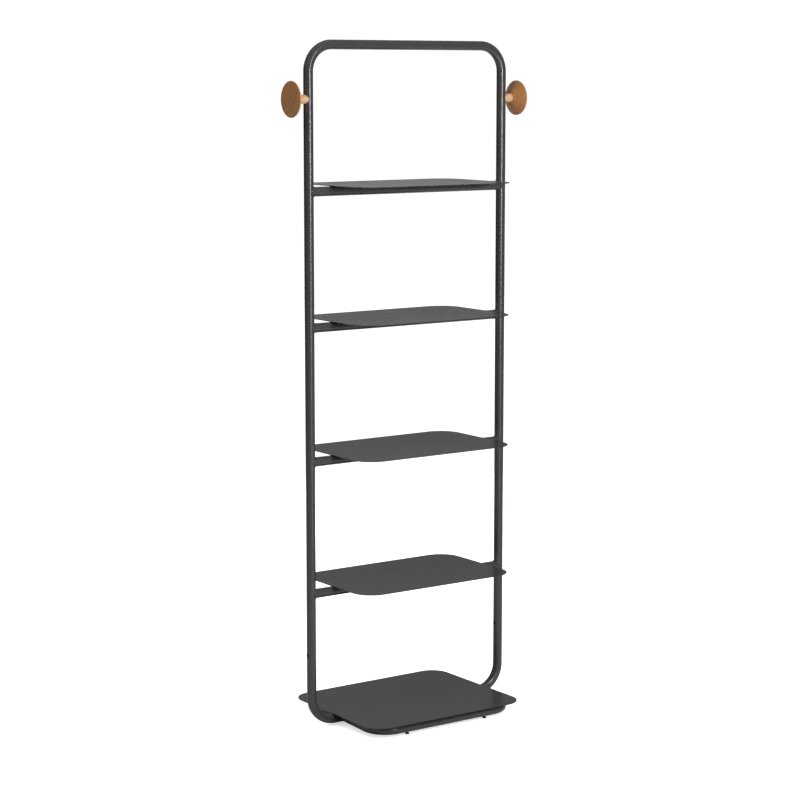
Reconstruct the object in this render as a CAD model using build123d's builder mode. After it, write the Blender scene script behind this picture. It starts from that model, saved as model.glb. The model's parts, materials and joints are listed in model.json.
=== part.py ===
from build123d import *
from math import sqrt, tan, radians
import os

os.makedirs("parts", exist_ok=True)

# Ladder shelf: one closed hoop of round steel tube stands upright, four sheet-steel shelves sit on
# crossbars between its posts, and a deeper base plate lies on the hoop's bottom run and two low loops.
# X runs from post to post, -Y is the front, +Z is up. The origin is on the floor, midway between the posts.

# ---- Driving dimensions, in millimetres ----

# Hoop
overall_height = 1818.0
overall_width = 648.0
tube_d = 25.4
tube_wall = 1.5
bend_under_plate = 6.3
floor_gap = 5.5

# Joint between the upper and lower halves of the hoop
seam_height = 163.0
seam_gap = 0.2
spigot_below_seam = 50.0
spigot_above_seam = 70.0
spigot_wall = 3.0
spigot_gap = 0.1
joint_bolt_above_seam = 40.0
joint_bolt_d = 6.0
joint_nut_barrel_d = 8.0
joint_nut_reach = 2.0
joint_bolt_reach = 7.0
joint_head_d = 10.0
joint_head_h = 2.2
joint_head_sink = 0.2
joint_head_clearance = 0.3
hex_socket_af = 4.0
hex_socket_depth = 1.4

# Shelves and the crossbars that carry them
shelf_count = 4
shelf_side_gap = 51.0
shelf_depth = 325.0
shelf_thickness = 2.0
shelf_corner_r = 61.0
first_shelf_top = 383.6
shelf_pitch = 353.6
sheet_edge_r = 0.5
seat_gap = 0.2
weld_gap = 0.1
shelf_stud_pitch = 180.0

# Base plate and its two loops of tube
base_thickness = 3.0
base_corner_r = 52.0
base_overhang = 11.4
loop_reach = 181.0
loop_bend_r = 59.0
loop_side_inset = 26.5
loop_splay_deg = 4.0
base_rail_stud_x = 150.0
loop_stud_x = 60.0

# Weld studs, washers and nuts that hold every sheet to its tube
stud_d = 5.0
stud_past_nut = 1.0
stud_hole_clearance = 0.3
thread_gap = 0.05
washer_d = 10.0
washer_h = 1.0
washer_gap = 0.1
nut_af = 8.0
nut_h = 4.0
access_hole_d = 11.0

# Screw glides
glide_x = 128.0
glide_foot_d = 10.4
glide_foot_h = 3.6
glide_foot_edge_r = 0.8
glide_foot_floor = 1.6
glide_stem_d = 6.0
glide_stem_length = 22.0
glide_bush_d = 9.0
glide_bush_length = 9.4
glide_bush_proud = 0.4
bush_hole_gap = 0.1

# Coat knobs
knob_drop = 152.0
knob_stem_d = 24.0
knob_stem_length = 31.0
knob_saddle_gap = 0.2
knob_disc_d = 94.0
knob_collar_d = 27.0
knob_cone_length = 19.0
knob_rim_w = 4.0
knob_rim_round = 1.0
knob_crown = 2.6
knob_tenon_d = 14.0
knob_tenon_length = 12.0
knob_glue_gap = 0.1
knob_stud_d = 6.0
knob_stud_start = 5.0
knob_stud_end = 40.0
knob_bush_d = 9.0
knob_bush_length = 8.0

# ---- Places that follow from the dimensions ----

tube_r = tube_d / 2
bore_r = tube_r - tube_wall
post_x = overall_width / 2 - tube_r
low_z = floor_gap + tube_r
top_z = overall_height - tube_r
joint_z = seam_height + joint_bolt_above_seam
knob_z = overall_height - knob_drop

# The hoop's bends end a little way in under the base plate, where they have hardly begun to rise
hoop_bend_r = tube_r + shelf_side_gap + bend_under_plate
bend_inside_r = hoop_bend_r - tube_r
bend_rise = bend_inside_r - sqrt(bend_inside_r**2 - bend_under_plate**2)

shelf_width = overall_width - 2 * tube_d - 2 * shelf_side_gap
shelf_tops = [first_shelf_top + level * shelf_pitch for level in range(shelf_count)]
crossbar_axes = [top - shelf_thickness - seat_gap - tube_r for top in shelf_tops]
shelf_stud_xs = [-shelf_stud_pitch, 0, shelf_stud_pitch]

base_depth = 2 * (loop_reach + tube_r + base_overhang)
base_underside = low_z + tube_r + bend_rise + seat_gap
loop_corner_x = shelf_width / 2 - loop_side_inset
loop_root_x = loop_corner_x - loop_reach * tan(radians(loop_splay_deg))

rail_studs = [(-base_rail_stud_x, 0), (base_rail_stud_x, 0)]
loop_studs = {side: [(-loop_stud_x, side * loop_reach), (loop_stud_x, side * loop_reach)] for side in (-1, 1)}
glides = {
    "front_left": (-glide_x, -loop_reach),
    "front_right": (glide_x, -loop_reach),
    "back_left": (-glide_x, loop_reach),
    "back_right": (glide_x, loop_reach),
}

# Every stud as (x, y, height of the axis of its tube, height of the sheet's underside)
stud_seats = [(x, 0, axis_z, axis_z + tube_r + seat_gap) for axis_z in crossbar_axes for x in shelf_stud_xs]
stud_seats += [(x, y, low_z, base_underside) for x, y in rail_studs + loop_studs[-1] + loop_studs[1]]

# Heights above the tube's axis: a flat washer bears on the round bore at its two edges
washer_top = sqrt(bore_r**2 - (washer_d / 2) ** 2) - washer_gap
nut_top = washer_top - washer_h
stud_bottom = nut_top - nut_h - stud_past_nut

TOP = (Align.CENTER, Align.CENTER, Align.MAX)
BOTTOM = (Align.CENTER, Align.CENTER, Align.MIN)


def save(piece, name):
    """Label a finished piece and write its STEP file."""
    piece.part.label = name
    export_step(piece.part, f"parts/{name}.step")


def tube_section(start):
    """Ring of tube wall, drawn on the plane where a bent tube starts."""
    with BuildSketch(start) as ring:
        Circle(tube_r)
        Circle(bore_r, mode=Mode.SUBTRACT)
    return ring.sketch


def drill_wall(places, axis_z, diameter, direction):
    """Drill one wall of a level tube, from its axis upwards (1) or downwards (-1)."""
    with BuildSketch(Plane.XY.offset(axis_z)) as holes:
        with Locations(*places):
            Circle(diameter / 2)
    extrude(holes.sketch, amount=direction * tube_d, mode=Mode.SUBTRACT)


def drill_for_studs(places, axis_z):
    """Stud holes in the top wall, and holes below them that let a socket reach the nuts."""
    drill_wall(places, axis_z, stud_d + 2 * stud_hole_clearance, 1)
    drill_wall(places, axis_z, access_hole_d, -1)


def drill_for_joint_heads(diameter):
    """Drill both posts from side to side at the height of the joint bolts."""
    with BuildSketch(Plane.YZ) as hole:
        with Locations((0, joint_z)):
            Circle(diameter / 2)
    extrude(hole.sketch, amount=overall_width, both=True, mode=Mode.SUBTRACT)


def outward_plane(side, height):
    """Plane on a post's axis, its normal pointing outwards, left post for -1 and right post for 1."""
    return Plane(origin=(side * post_x, 0, height), x_dir=(0, side, 0), z_dir=(side, 0, 0))


def knob_plane(side):
    """Plane through a knob's axis: local x runs outwards from the post's axis, local y is the radius."""
    return Plane(origin=(side * post_x, 0, knob_z), x_dir=(side, 0, 0), z_dir=(0, -side, 0))


# ---- Hoop ----

# The upper half is one long tube bent twice, with its two open ends pointing down.
with BuildPart() as upper_hoop:
    with BuildLine(Plane.XZ):
        FilletPolyline(
            (-post_x, seam_height),
            (-post_x, top_z),
            (post_x, top_z),
            (post_x, seam_height),
            radius=hoop_bend_r,
        )
    sweep(tube_section(Plane((-post_x, 0, seam_height))))
    drill_for_joint_heads(joint_head_d + 2 * joint_head_clearance)
    for side in (-1, 1):
        with BuildSketch(outward_plane(side, knob_z)):
            Circle(knob_bush_d / 2 + bush_hole_gap)
        extrude(amount=tube_d, mode=Mode.SUBTRACT)
save(upper_hoop, "upper_hoop")

# The lower half is the same tube bent twice the other way, with its open ends pointing up.
with BuildPart() as lower_hoop:
    lower_end = seam_height - seam_gap
    with BuildLine(Plane.XZ):
        FilletPolyline(
            (-post_x, lower_end),
            (-post_x, low_z),
            (post_x, low_z),
            (post_x, lower_end),
            radius=hoop_bend_r,
        )
    sweep(tube_section(Plane((-post_x, 0, lower_end))))
    drill_for_studs(rail_studs, low_z)
save(lower_hoop, "lower_hoop")

# A spigot fixed in each lower tube end slides up into the upper tube end.
spigot_r = bore_r - spigot_gap
spigot_length = spigot_below_seam + spigot_above_seam
head_seat = tube_r - joint_head_sink - joint_head_h
for side, name in ((-1, "left_spigot"), (1, "right_spigot")):
    with BuildPart() as spigot:
        with BuildSketch(Plane.XY.offset(seam_height - spigot_below_seam)):
            with Locations((side * post_x, 0)):
                Circle(spigot_r)
                Circle(spigot_r - spigot_wall, mode=Mode.SUBTRACT)
        extrude(amount=spigot_length)
        chamfer(spigot.faces().filter_by(Axis.Z).edges().group_by(SortBy.RADIUS)[-1], spigot_wall / 3)
        drill_for_joint_heads(joint_nut_barrel_d + 2 * joint_head_clearance)
        for direction in (-1, 1):
            with BuildSketch(outward_plane(side, joint_z).offset(direction * head_seat)):
                Circle(joint_head_d / 2 + joint_head_clearance)
            extrude(amount=direction * tube_r, mode=Mode.SUBTRACT)
    save(spigot, name)

# A bolt from the outer side screws into a barrel nut from the inner side, both with the same low head.
with BuildPart() as joint_bolts:
    for side in (-1, 1):
        axis = outward_plane(side, joint_z)
        with BuildSketch(axis.offset(head_seat)):
            Circle(joint_head_d / 2)
        extrude(amount=joint_head_h)
        with BuildSketch(axis.offset(head_seat + joint_head_h)):
            RegularPolygon(hex_socket_af / 2, 6, major_radius=False)
        extrude(amount=-hex_socket_depth, mode=Mode.SUBTRACT)
        with BuildSketch(axis.offset(head_seat)):
            Circle(joint_bolt_d / 2)
        extrude(amount=-(head_seat + joint_bolt_reach))
save(joint_bolts, "joint_bolts")

with BuildPart() as joint_barrel_nuts:
    for side in (-1, 1):
        axis = outward_plane(side, joint_z)
        with BuildSketch(axis.offset(-head_seat)):
            Circle(joint_head_d / 2)
        extrude(amount=-joint_head_h)
        with BuildSketch(axis.offset(-head_seat)):
            Circle(joint_nut_barrel_d / 2)
        extrude(amount=head_seat + joint_nut_reach)
        with BuildSketch(axis.offset(joint_nut_reach)):
            Circle(joint_bolt_d / 2 + thread_gap)
        extrude(amount=-(joint_nut_reach + joint_bolt_reach + 1), mode=Mode.SUBTRACT)
        with BuildSketch(axis.offset(-head_seat - joint_head_h)):
            RegularPolygon(hex_socket_af / 2, 6, major_radius=False)
        extrude(amount=hex_socket_depth, mode=Mode.SUBTRACT)
save(joint_barrel_nuts, "joint_barrel_nuts")

# ---- Crossbars and shelves ----

# Each crossbar is a straight tube, coped at both ends to the round of the posts and welded there.
for number, axis_z in enumerate(crossbar_axes, start=1):
    with BuildPart() as crossbar:
        with BuildSketch(Plane.YZ):
            with Locations((0, axis_z)):
                Circle(tube_r)
                Circle(bore_r, mode=Mode.SUBTRACT)
        extrude(amount=post_x, both=True)
        with Locations((-post_x, 0, axis_z), (post_x, 0, axis_z)):
            Cylinder(tube_r + weld_gap, 2 * tube_d, mode=Mode.SUBTRACT)
        drill_for_studs([(x, 0) for x in shelf_stud_xs], axis_z)
    save(crossbar, f"crossbar_{number}")

# Each shelf is a flat sheet with large round corners, centred on its crossbar.
for number, top in enumerate(shelf_tops, start=1):
    with BuildPart() as shelf:
        with BuildSketch(Plane.XY.offset(top)):
            RectangleRounded(shelf_width, shelf_depth, shelf_corner_r)
        extrude(amount=-shelf_thickness)
        fillet(shelf.faces().filter_by(Axis.Z).edges(), sheet_edge_r)
    save(shelf, f"shelf_{number}")

# ---- Base ----

# A bent loop in front of the hoop and one behind it are coped to its bottom run and welded there.
for side, name in ((-1, "front_base_loop"), (1, "back_base_loop")):
    with BuildPart() as base_loop:
        with BuildLine(Plane.XY.offset(low_z)) as loop_path:
            FilletPolyline(
                (-loop_root_x, 0),
                (-loop_corner_x, side * loop_reach),
                (loop_corner_x, side * loop_reach),
                (loop_root_x, 0),
                radius=loop_bend_r,
            )
        sweep(tube_section(Plane(origin=loop_path.wire() @ 0, z_dir=loop_path.wire() % 0)))
        with Locations((0, 0, low_z)):
            Cylinder(tube_r + weld_gap, overall_width, rotation=(0, 90, 0), mode=Mode.SUBTRACT)
        drill_for_studs(loop_studs[side], low_z)
        drill_wall([place for place in glides.values() if place[1] * side > 0],
                   low_z, glide_bush_d + 2 * bush_hole_gap, -1)
    save(base_loop, name)

with BuildPart() as base_plate:
    with BuildSketch(Plane.XY.offset(base_underside)):
        RectangleRounded(shelf_width, base_depth, base_corner_r)
    extrude(amount=base_thickness)
    fillet(base_plate.faces().filter_by(Axis.Z).edges(), sheet_edge_r)
save(base_plate, "base_plate")

# ---- Studs, washers and nuts ----

with BuildPart() as weld_studs:
    for x, y, axis_z, underside in stud_seats:
        with Locations((x, y, underside)):
            Cylinder(stud_d / 2, underside - axis_z - stud_bottom, align=TOP)
save(weld_studs, "weld_studs")

with BuildPart() as stud_washers:
    with Locations(*[(x, y, axis_z + washer_top) for x, y, axis_z, underside in stud_seats]):
        Cylinder(washer_d / 2, washer_h, align=TOP)
        Cylinder(stud_d / 2 + stud_hole_clearance, washer_h, align=TOP, mode=Mode.SUBTRACT)
save(stud_washers, "stud_washers")

with BuildPart() as stud_nuts:
    for x, y, axis_z, underside in stud_seats:
        with BuildSketch(Plane((x, y, axis_z + nut_top))):
            RegularPolygon(nut_af / 2, 6, major_radius=False)
            Circle(stud_d / 2 + thread_gap, mode=Mode.SUBTRACT)
        extrude(amount=-nut_h)
save(stud_nuts, "stud_nuts")

# ---- Screw glides ----

with BuildPart() as glide_bushes:
    with Locations(*[(x, y, floor_gap - glide_bush_proud) for x, y in glides.values()]):
        Cylinder(glide_bush_d / 2, glide_bush_length, align=BOTTOM)
        Cylinder(glide_stem_d / 2 + thread_gap, glide_bush_length, align=BOTTOM, mode=Mode.SUBTRACT)
save(glide_bushes, "glide_bushes")

for corner, (x, y) in glides.items():
    with BuildPart() as glide_foot:
        with Locations((x, y, 0)):
            Cylinder(glide_foot_d / 2, glide_foot_h, align=BOTTOM)
        fillet(glide_foot.faces().sort_by(Axis.Z)[0].edges(), glide_foot_edge_r)
        with Locations((x, y, glide_foot_floor)):
            Cylinder(glide_stem_d / 2 + thread_gap, glide_foot_h, align=BOTTOM, mode=Mode.SUBTRACT)
    save(glide_foot, f"{corner}_glide_foot")

    with BuildPart() as glide_stem:
        with Locations((x, y, glide_foot_floor)):
            Cylinder(glide_stem_d / 2, glide_stem_length, align=BOTTOM)
    save(glide_stem, f"{corner}_glide_stem")

# ---- Coat knobs ----

# Threaded bushes welded into the posts' outer walls take the studs that hold the knobs.
knob_bush_end = sqrt(tube_r**2 - (knob_bush_d / 2) ** 2)
with BuildPart() as knob_bushes:
    for side in (-1, 1):
        with BuildSketch(outward_plane(side, knob_z).offset(knob_bush_end)):
            Circle(knob_bush_d / 2)
            Circle(knob_stud_d / 2 + thread_gap, mode=Mode.SUBTRACT)
        extrude(amount=-knob_bush_length)
save(knob_bushes, "knob_bushes")

with BuildPart() as knob_studs:
    for side in (-1, 1):
        with BuildSketch(outward_plane(side, knob_z).offset(knob_stud_start)):
            Circle(knob_stud_d / 2)
        extrude(amount=knob_stud_end - knob_stud_start)
save(knob_studs, "knob_studs")

mortise_end = knob_stem_length + knob_tenon_length + knob_glue_gap
rim_back = knob_stem_length + knob_cone_length
rim_front = rim_back + knob_rim_w
rim_r = knob_disc_d / 2
for side, name in ((-1, "left"), (1, "right")):
    # The stem is a dowel, its post end hollowed to the round of the tube, its other end turned to a tenon.
    with BuildPart() as knob_stem:
        with BuildSketch(outward_plane(side, knob_z)):
            Circle(knob_stem_d / 2)
        extrude(amount=knob_stem_length)
        with BuildSketch(outward_plane(side, knob_z).offset(knob_stem_length)):
            Circle(knob_tenon_d / 2)
        extrude(amount=knob_tenon_length)
        with BuildSketch(outward_plane(side, knob_z)):
            Circle(knob_stud_d / 2 + thread_gap)
        extrude(amount=knob_stud_end + 1, mode=Mode.SUBTRACT)
        with Locations((side * post_x, 0, knob_z)):
            Cylinder(tube_r + knob_saddle_gap, knob_disc_d, mode=Mode.SUBTRACT)
    save(knob_stem, f"{name}_knob_stem")

    # The disc is turned: a blind mortise, a conical back, a narrow round rim and a slightly crowned face.
    with BuildPart() as knob_disc:
        with BuildSketch(knob_plane(side)):
            with BuildLine():
                Polyline(
                    (mortise_end, 0),
                    (mortise_end, knob_tenon_d / 2 + knob_glue_gap),
                    (knob_stem_length, knob_tenon_d / 2 + knob_glue_gap),
                    (knob_stem_length, knob_collar_d / 2),
                    (rim_back, rim_r - knob_rim_round),
                )
                ThreePointArc(
                    (rim_back, rim_r - knob_rim_round),
                    ((rim_back + rim_front) / 2, rim_r),
                    (rim_front, rim_r - knob_rim_round),
                )
                TangentArc(
                    (rim_front + knob_crown, 0),
                    (rim_front, rim_r - knob_rim_round),
                    tangent=(0, 1),
                )
                Line((rim_front + knob_crown, 0), (mortise_end, 0))
            make_face()
        revolve(axis=Axis((side * post_x, 0, knob_z), (1, 0, 0)))
    save(knob_disc, f"{name}_knob_disc")
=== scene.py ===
import json
from math import cos, pi, radians, sin, sqrt, tan

import bmesh
import bpy
from mathutils import Matrix, Vector

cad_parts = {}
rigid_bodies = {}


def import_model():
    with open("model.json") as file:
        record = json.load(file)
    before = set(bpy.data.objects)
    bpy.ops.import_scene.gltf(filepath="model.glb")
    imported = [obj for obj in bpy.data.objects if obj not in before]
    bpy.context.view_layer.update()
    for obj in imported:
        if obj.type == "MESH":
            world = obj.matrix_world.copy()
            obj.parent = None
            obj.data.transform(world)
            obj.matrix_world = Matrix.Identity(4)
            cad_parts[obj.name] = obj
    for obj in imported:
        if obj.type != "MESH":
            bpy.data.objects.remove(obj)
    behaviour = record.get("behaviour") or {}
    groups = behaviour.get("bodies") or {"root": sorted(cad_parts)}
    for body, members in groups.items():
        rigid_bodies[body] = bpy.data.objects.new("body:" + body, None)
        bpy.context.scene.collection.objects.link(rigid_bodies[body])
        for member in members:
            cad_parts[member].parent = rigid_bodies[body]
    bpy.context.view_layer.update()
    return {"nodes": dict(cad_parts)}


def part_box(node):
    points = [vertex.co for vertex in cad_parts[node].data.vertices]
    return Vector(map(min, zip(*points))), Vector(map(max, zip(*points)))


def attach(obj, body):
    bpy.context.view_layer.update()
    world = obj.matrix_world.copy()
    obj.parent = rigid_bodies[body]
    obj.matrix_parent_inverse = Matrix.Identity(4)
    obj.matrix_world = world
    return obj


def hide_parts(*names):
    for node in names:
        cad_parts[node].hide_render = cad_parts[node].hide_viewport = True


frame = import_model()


# ---- Upper hoop ----
# One long length of 25.4 mm mild-steel tube, bent cold at both top corners and powder-coated charcoal.
# Its two open ends point down over the spigots; each post is drilled for a joint bolt and a knob bush.


class Value:
    """What flows out of a node: sums and products of values add Math nodes to the same tree."""

    def __init__(self, nodes, socket):
        self.nodes = nodes
        self.socket = socket

    def also(self, output):
        """Another output of the same node."""
        return Value(self.nodes, self.socket.node.outputs[output])

    def math(self, operation, first, second=0.0):
        return self.nodes.add("ShaderNodeMath", {"operation": operation}, {0: first, 1: second})

    def __add__(self, other):
        return self.math("ADD", self, other)

    def __radd__(self, other):
        return self.math("ADD", other, self)

    def __sub__(self, other):
        return self.math("SUBTRACT", self, other)

    def __rsub__(self, other):
        return self.math("SUBTRACT", other, self)

    def __mul__(self, other):
        return self.math("MULTIPLY", self, other)

    def __rmul__(self, other):
        return self.math("MULTIPLY", other, self)

    def __truediv__(self, other):
        return self.math("DIVIDE", self, other)

    def __mod__(self, other):
        return self.math("FLOORED_MODULO", self, other)


class Nodes:
    """A node tree written as expressions."""

    def __init__(self, tree):
        self.tree = tree
        tree.nodes.clear()

    def add(self, kind, settings=None, sockets=None, output=0):
        """Make a node, set it up, feed its sockets and hand back one of its outputs."""
        node = self.tree.nodes.new(kind)
        for name, setting in (settings or {}).items():
            if name == "stops":
                ramp = node.color_ramp.elements
                while len(ramp) < len(setting):
                    ramp.new(1.0)
                for stop, (position, colour) in zip(ramp, setting):
                    stop.position = position
                    stop.color = colour
            else:
                setattr(node, name, setting)
        for name, feed in (sockets or {}).items():
            for one in feed if isinstance(feed, list) else [feed]:
                if isinstance(one, Value):
                    self.tree.links.new(one.socket, node.inputs[name])
                else:
                    node.inputs[name].default_value = one
        return Value(self, node.outputs[output] if len(node.outputs) else None)

    def ramp(self, value, stops):
        """Carry a value over a row of (position, brightness) stops."""
        stops = [(at, (level, level, level, 1.0)) for at, level in stops]
        return self.add("ShaderNodeValToRGB", {"stops": stops}, {0: value})


class Finish(Nodes):
    """A material whose surface is one Principled shader, with its patterns in the object's own metres."""

    def __init__(self, name):
        self.material = bpy.data.materials.new(name)
        self.material.use_nodes = True
        super().__init__(self.material.node_tree)
        self.place = self.add("ShaderNodeTexCoord", output="Object")

    def noise(self, size, detail=2.0, where=None):
        """Cloudy pattern from 0 to 1 whose patches are about size metres across."""
        return self.add(
            "ShaderNodeTexNoise",
            {},
            {"Vector": where or self.place, "Scale": 1 / size, "Detail": detail},
        )

    def blend(self, amount, first, second, how="MIX"):
        """One colour over another."""
        return self.add(
            "ShaderNodeMix",
            {"data_type": "RGBA", "blend_type": how},
            {0: amount, 6: first, 7: second},
            output=2,
        )

    def stretch(self, origin, sizes, turn=(0.0, 0.0, 0.0)):
        """Coordinates from origin along turned axes; patterns in them come out drawn out by sizes."""
        return self.add("ShaderNodeMapping", {"vector_type": "TEXTURE"}, {
            "Vector": self.place,
            "Location": origin,
            "Rotation": turn,
            "Scale": sizes,
        })

    def bump(self, height, depth):
        """Surface relief whose full height is depth metres."""
        return self.add("ShaderNodeBump", {}, {"Strength": 1.0, "Distance": depth, "Height": height})

    def surface(self, **sockets):
        """Close the material with its shader; socket names are written with underscores."""
        named = {name.replace("_", " "): feed for name, feed in sockets.items()}
        shader = self.add("ShaderNodeBsdfPrincipled", {}, named)
        self.add("ShaderNodeOutputMaterial", {}, {"Surface": shader})
        return self.material


def colour(red, green, blue):
    """Linear colour of a paint-chart value given from 0 to 255."""
    def linear(level):
        level /= 255
        return level / 12.92 if level <= 0.04045 else ((level + 0.055) / 1.055) ** 2.4
    return (linear(red), linear(green), linear(blue), 1.0)


peel_relief = 0.000006


def powder_coat(name):
    """Satin charcoal powder coat: faint orange peel, fine specks and slow drifts in the film."""
    coat = Finish(name)
    drift = coat.noise(0.16, 1.0)
    peel = coat.noise(0.0022, 1.0)
    speck = coat.noise(0.0006, 1.0)
    charcoal = coat.blend(drift, colour(53, 54, 55), colour(58, 58, 59))
    fleck = coat.ramp(speck, [(0.62, 0.0), (0.72, 0.35)])
    flecked = coat.blend(fleck, charcoal, colour(74, 74, 75))
    roughness = 0.21 + 0.04 * drift + 0.04 * speck
    relief = coat.bump(0.7 * peel + 0.3 * speck, peel_relief)
    return coat.surface(Base_Color=flecked, Roughness=roughness, Normal=relief, IOR=1.5)


coated_steel = powder_coat("powder_coat")

tube_r = 0.0127
tube_wall = 0.0015
bend_r = 0.070
bend_steps = 40
round_steps = 64
merge_reach = 1e-6
hoop_low, hoop_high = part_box("upper_hoop")
post_x = hoop_high.x - tube_r
top_z = hoop_high.z - tube_r
seam_z = hoop_low.z


def sockets_of(tree, wanted):
    """Give a node tree its named inputs and one geometry output."""
    for name, kind in wanted.items():
        tree.interface.new_socket(name=name, in_out="INPUT", socket_type=f"NodeSocket{kind}")
    tree.interface.new_socket(name="Geometry", in_out="OUTPUT", socket_type="NodeSocketGeometry")


def tube_bender():
    """Node tree that bends a tube along a path, gives it its wall and takes the cut parts away."""
    tree = bpy.data.node_groups.new("tube_bender", "GeometryNodeTree")
    sockets_of(tree, {
        "Path": "Geometry",
        "Bend Radius": "Float",
        "Bend Steps": "Int",
        "Tube Radius": "Float",
        "Tube Wall": "Float",
        "Round Steps": "Int",
        "Cut Away": "Object",
        "Finish": "Material",
    })
    bender = Nodes(tree)
    given = bender.add("NodeGroupInput")
    line = bender.add("GeometryNodeMeshToCurve", {}, {"Mesh": given})
    bent = bender.add("GeometryNodeFilletCurve", {"mode": "POLY"}, {
        "Curve": line,
        "Count": given.also("Bend Steps"),
        "Radius": given.also("Bend Radius"),
    })
    ring = bender.add("GeometryNodeCurvePrimitiveCircle", {}, {
        "Resolution": given.also("Round Steps"),
        "Radius": given.also("Tube Radius"),
    })
    outside = bender.add("GeometryNodeCurveToMesh", {}, {"Curve": bent, "Profile Curve": ring})
    inward = bender.add("GeometryNodeExtrudeMesh", {"mode": "FACES"}, {
        "Mesh": outside,
        "Offset Scale": -1 * given.also("Tube Wall"),
        "Individual": False,
    })
    bore = bender.add("GeometryNodeFlipFaces", {}, {"Mesh": inward})
    both = bender.add("GeometryNodeJoinGeometry", {}, {"Geometry": [outside, bore]})
    tube = bender.add("GeometryNodeMergeByDistance", {}, {"Geometry": both, "Distance": merge_reach})
    cutter = bender.add(
        "GeometryNodeObjectInfo", {}, {"Object": given.also("Cut Away")}, output="Geometry"
    )
    cut = bender.add("GeometryNodeMeshBoolean", {"operation": "DIFFERENCE", "solver": "EXACT"}, {
        "Mesh 1": tube,
        "Mesh 2": cutter,
    })
    smooth = bender.add("GeometryNodeSetShadeSmooth", {}, {"Geometry": cut, "Shade Smooth": True})
    whole = bender.add("GeometryNodeRealizeInstances", {}, {"Geometry": smooth})
    coated = bender.add("GeometryNodeSetMaterial", {}, {
        "Geometry": whole,
        "Material": given.also("Finish"),
    })
    bender.add("NodeGroupOutput", {}, {"Geometry": coated})
    return tree


def link(name, mesh):
    """Put a mesh in the scene as an object at the origin."""
    made = bpy.data.objects.new(name, mesh)
    bpy.context.scene.collection.objects.link(made)
    return made


def path(points):
    """Mesh of edges through points, for a node tree to follow."""
    mesh = bpy.data.meshes.new("path")
    mesh.from_pydata(points, [(place, place + 1) for place in range(len(points) - 1)], [])
    return mesh


def grow(name, mesh, tree, **inputs):
    """Run a node tree on a mesh and keep what it makes as a plain mesh."""
    holder = link("holder", mesh)
    modifier = holder.modifiers.new("grow", "NODES")
    modifier.node_group = tree
    for item in tree.interface.items_tree:
        key = item.name.lower().replace(" ", "_")
        if key in inputs:
            modifier[item.identifier] = inputs[key]
    graph = bpy.context.evaluated_depsgraph_get()
    plain = bpy.data.meshes.new_from_object(holder.evaluated_get(graph), depsgraph=graph)
    plain.name = name
    bpy.data.objects.remove(holder)
    if plain.materials[0] is None:
        plain.materials.pop(index=0)
    return plain


def finished(name, mesh, slot, body, *nodes, sharp=35):
    """Keep a mesh as a piece that rides on a body and stands for the named nodes."""
    mesh.set_sharp_from_angle(angle=radians(sharp))
    piece = link(name, mesh)
    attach(piece, body)
    if nodes:
        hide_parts(*nodes)
    return piece


def rods(places, steps=48):
    """Round cutters, each from a start point to an end point with its own radius."""
    cutter = bmesh.new()
    for start, end, radius in places:
        along = Vector(end) - Vector(start)
        turn = along.to_track_quat("Z", "Y").to_matrix().to_4x4()
        stand = Matrix.Translation((Vector(start) + Vector(end)) / 2) @ turn
        bmesh.ops.create_cone(
            cutter, cap_ends=True, segments=steps, radius1=radius, radius2=radius,
            depth=along.length, matrix=stand,
        )
    mesh = bpy.data.meshes.new("cutter")
    cutter.to_mesh(mesh)
    cutter.free()
    return mesh


bender = tube_bender()


def bend(name, points, cuts, radius=bend_r):
    """Bend a tube through points and drill or cope it with the given rods."""
    cutter = link("cutter", rods(cuts))
    mesh = grow(
        name, path(points), bender, bend_radius=radius, bend_steps=bend_steps, tube_radius=tube_r,
        tube_wall=tube_wall, round_steps=round_steps, cut_away=cutter, finish=coated_steel,
    )
    bpy.data.objects.remove(cutter)
    return mesh


joint_z = sum(corner.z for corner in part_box("joint_bolts")) / 2
knob_z = sum(corner.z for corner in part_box("knob_studs")) / 2
joint_recess_r = 0.0053
knob_bush_r = 0.0046

upper_cuts = []
for side in (-1, 1):
    post = side * post_x
    upper_cuts.append(((post - 2 * tube_r, 0, joint_z), (post + 2 * tube_r, 0, joint_z), joint_recess_r))
    upper_cuts.append(((post, 0, knob_z), (post + side * 2 * tube_r, 0, knob_z), knob_bush_r))
upper_path = [(-post_x, 0, seam_z), (-post_x, 0, top_z), (post_x, 0, top_z), (post_x, 0, seam_z)]
finished("upper_tube", bend("upper_tube", upper_path, upper_cuts), "coated_steel", "frame", "upper_hoop")


# ---- Lower hoop ----
# The same tube bent twice the other way: its bottom run lies under the base plate, 5.5 mm off the floor.
# Its top wall is drilled for the base plate's weld studs, and its bottom wall for a socket to reach the nuts.

lower_low, lower_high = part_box("lower_hoop")
low_z = lower_low.z + tube_r
stud_hole_r = 0.0028
access_r = 0.0055
base_stud_x = 0.150


def stud_cuts(places, axis_z):
    """Holes for weld studs through a level tube's top wall, and the wider ones below them."""
    cuts = [((x, y, axis_z), (x, y, axis_z + 2 * tube_r), stud_hole_r) for x, y in places]
    return cuts + [((x, y, axis_z), (x, y, axis_z - 2 * tube_r), access_r) for x, y in places]


stub_z = lower_high.z
lower_path = [(-post_x, 0, stub_z), (-post_x, 0, low_z), (post_x, 0, low_z), (post_x, 0, stub_z)]
lower_cuts = stud_cuts([(-base_stud_x, 0), (base_stud_x, 0)], low_z)
finished("lower_tube", bend("lower_tube", lower_path, lower_cuts), "coated_steel", "frame", "lower_hoop")


# ---- Base loops ----
# Two shorter tubes bent to a U, one in front and one behind, coped to the hoop's bottom run and MIG welded.
# Their legs splay outwards a little. Drilled above for weld studs and below for nuts and glide bushes.

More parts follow.
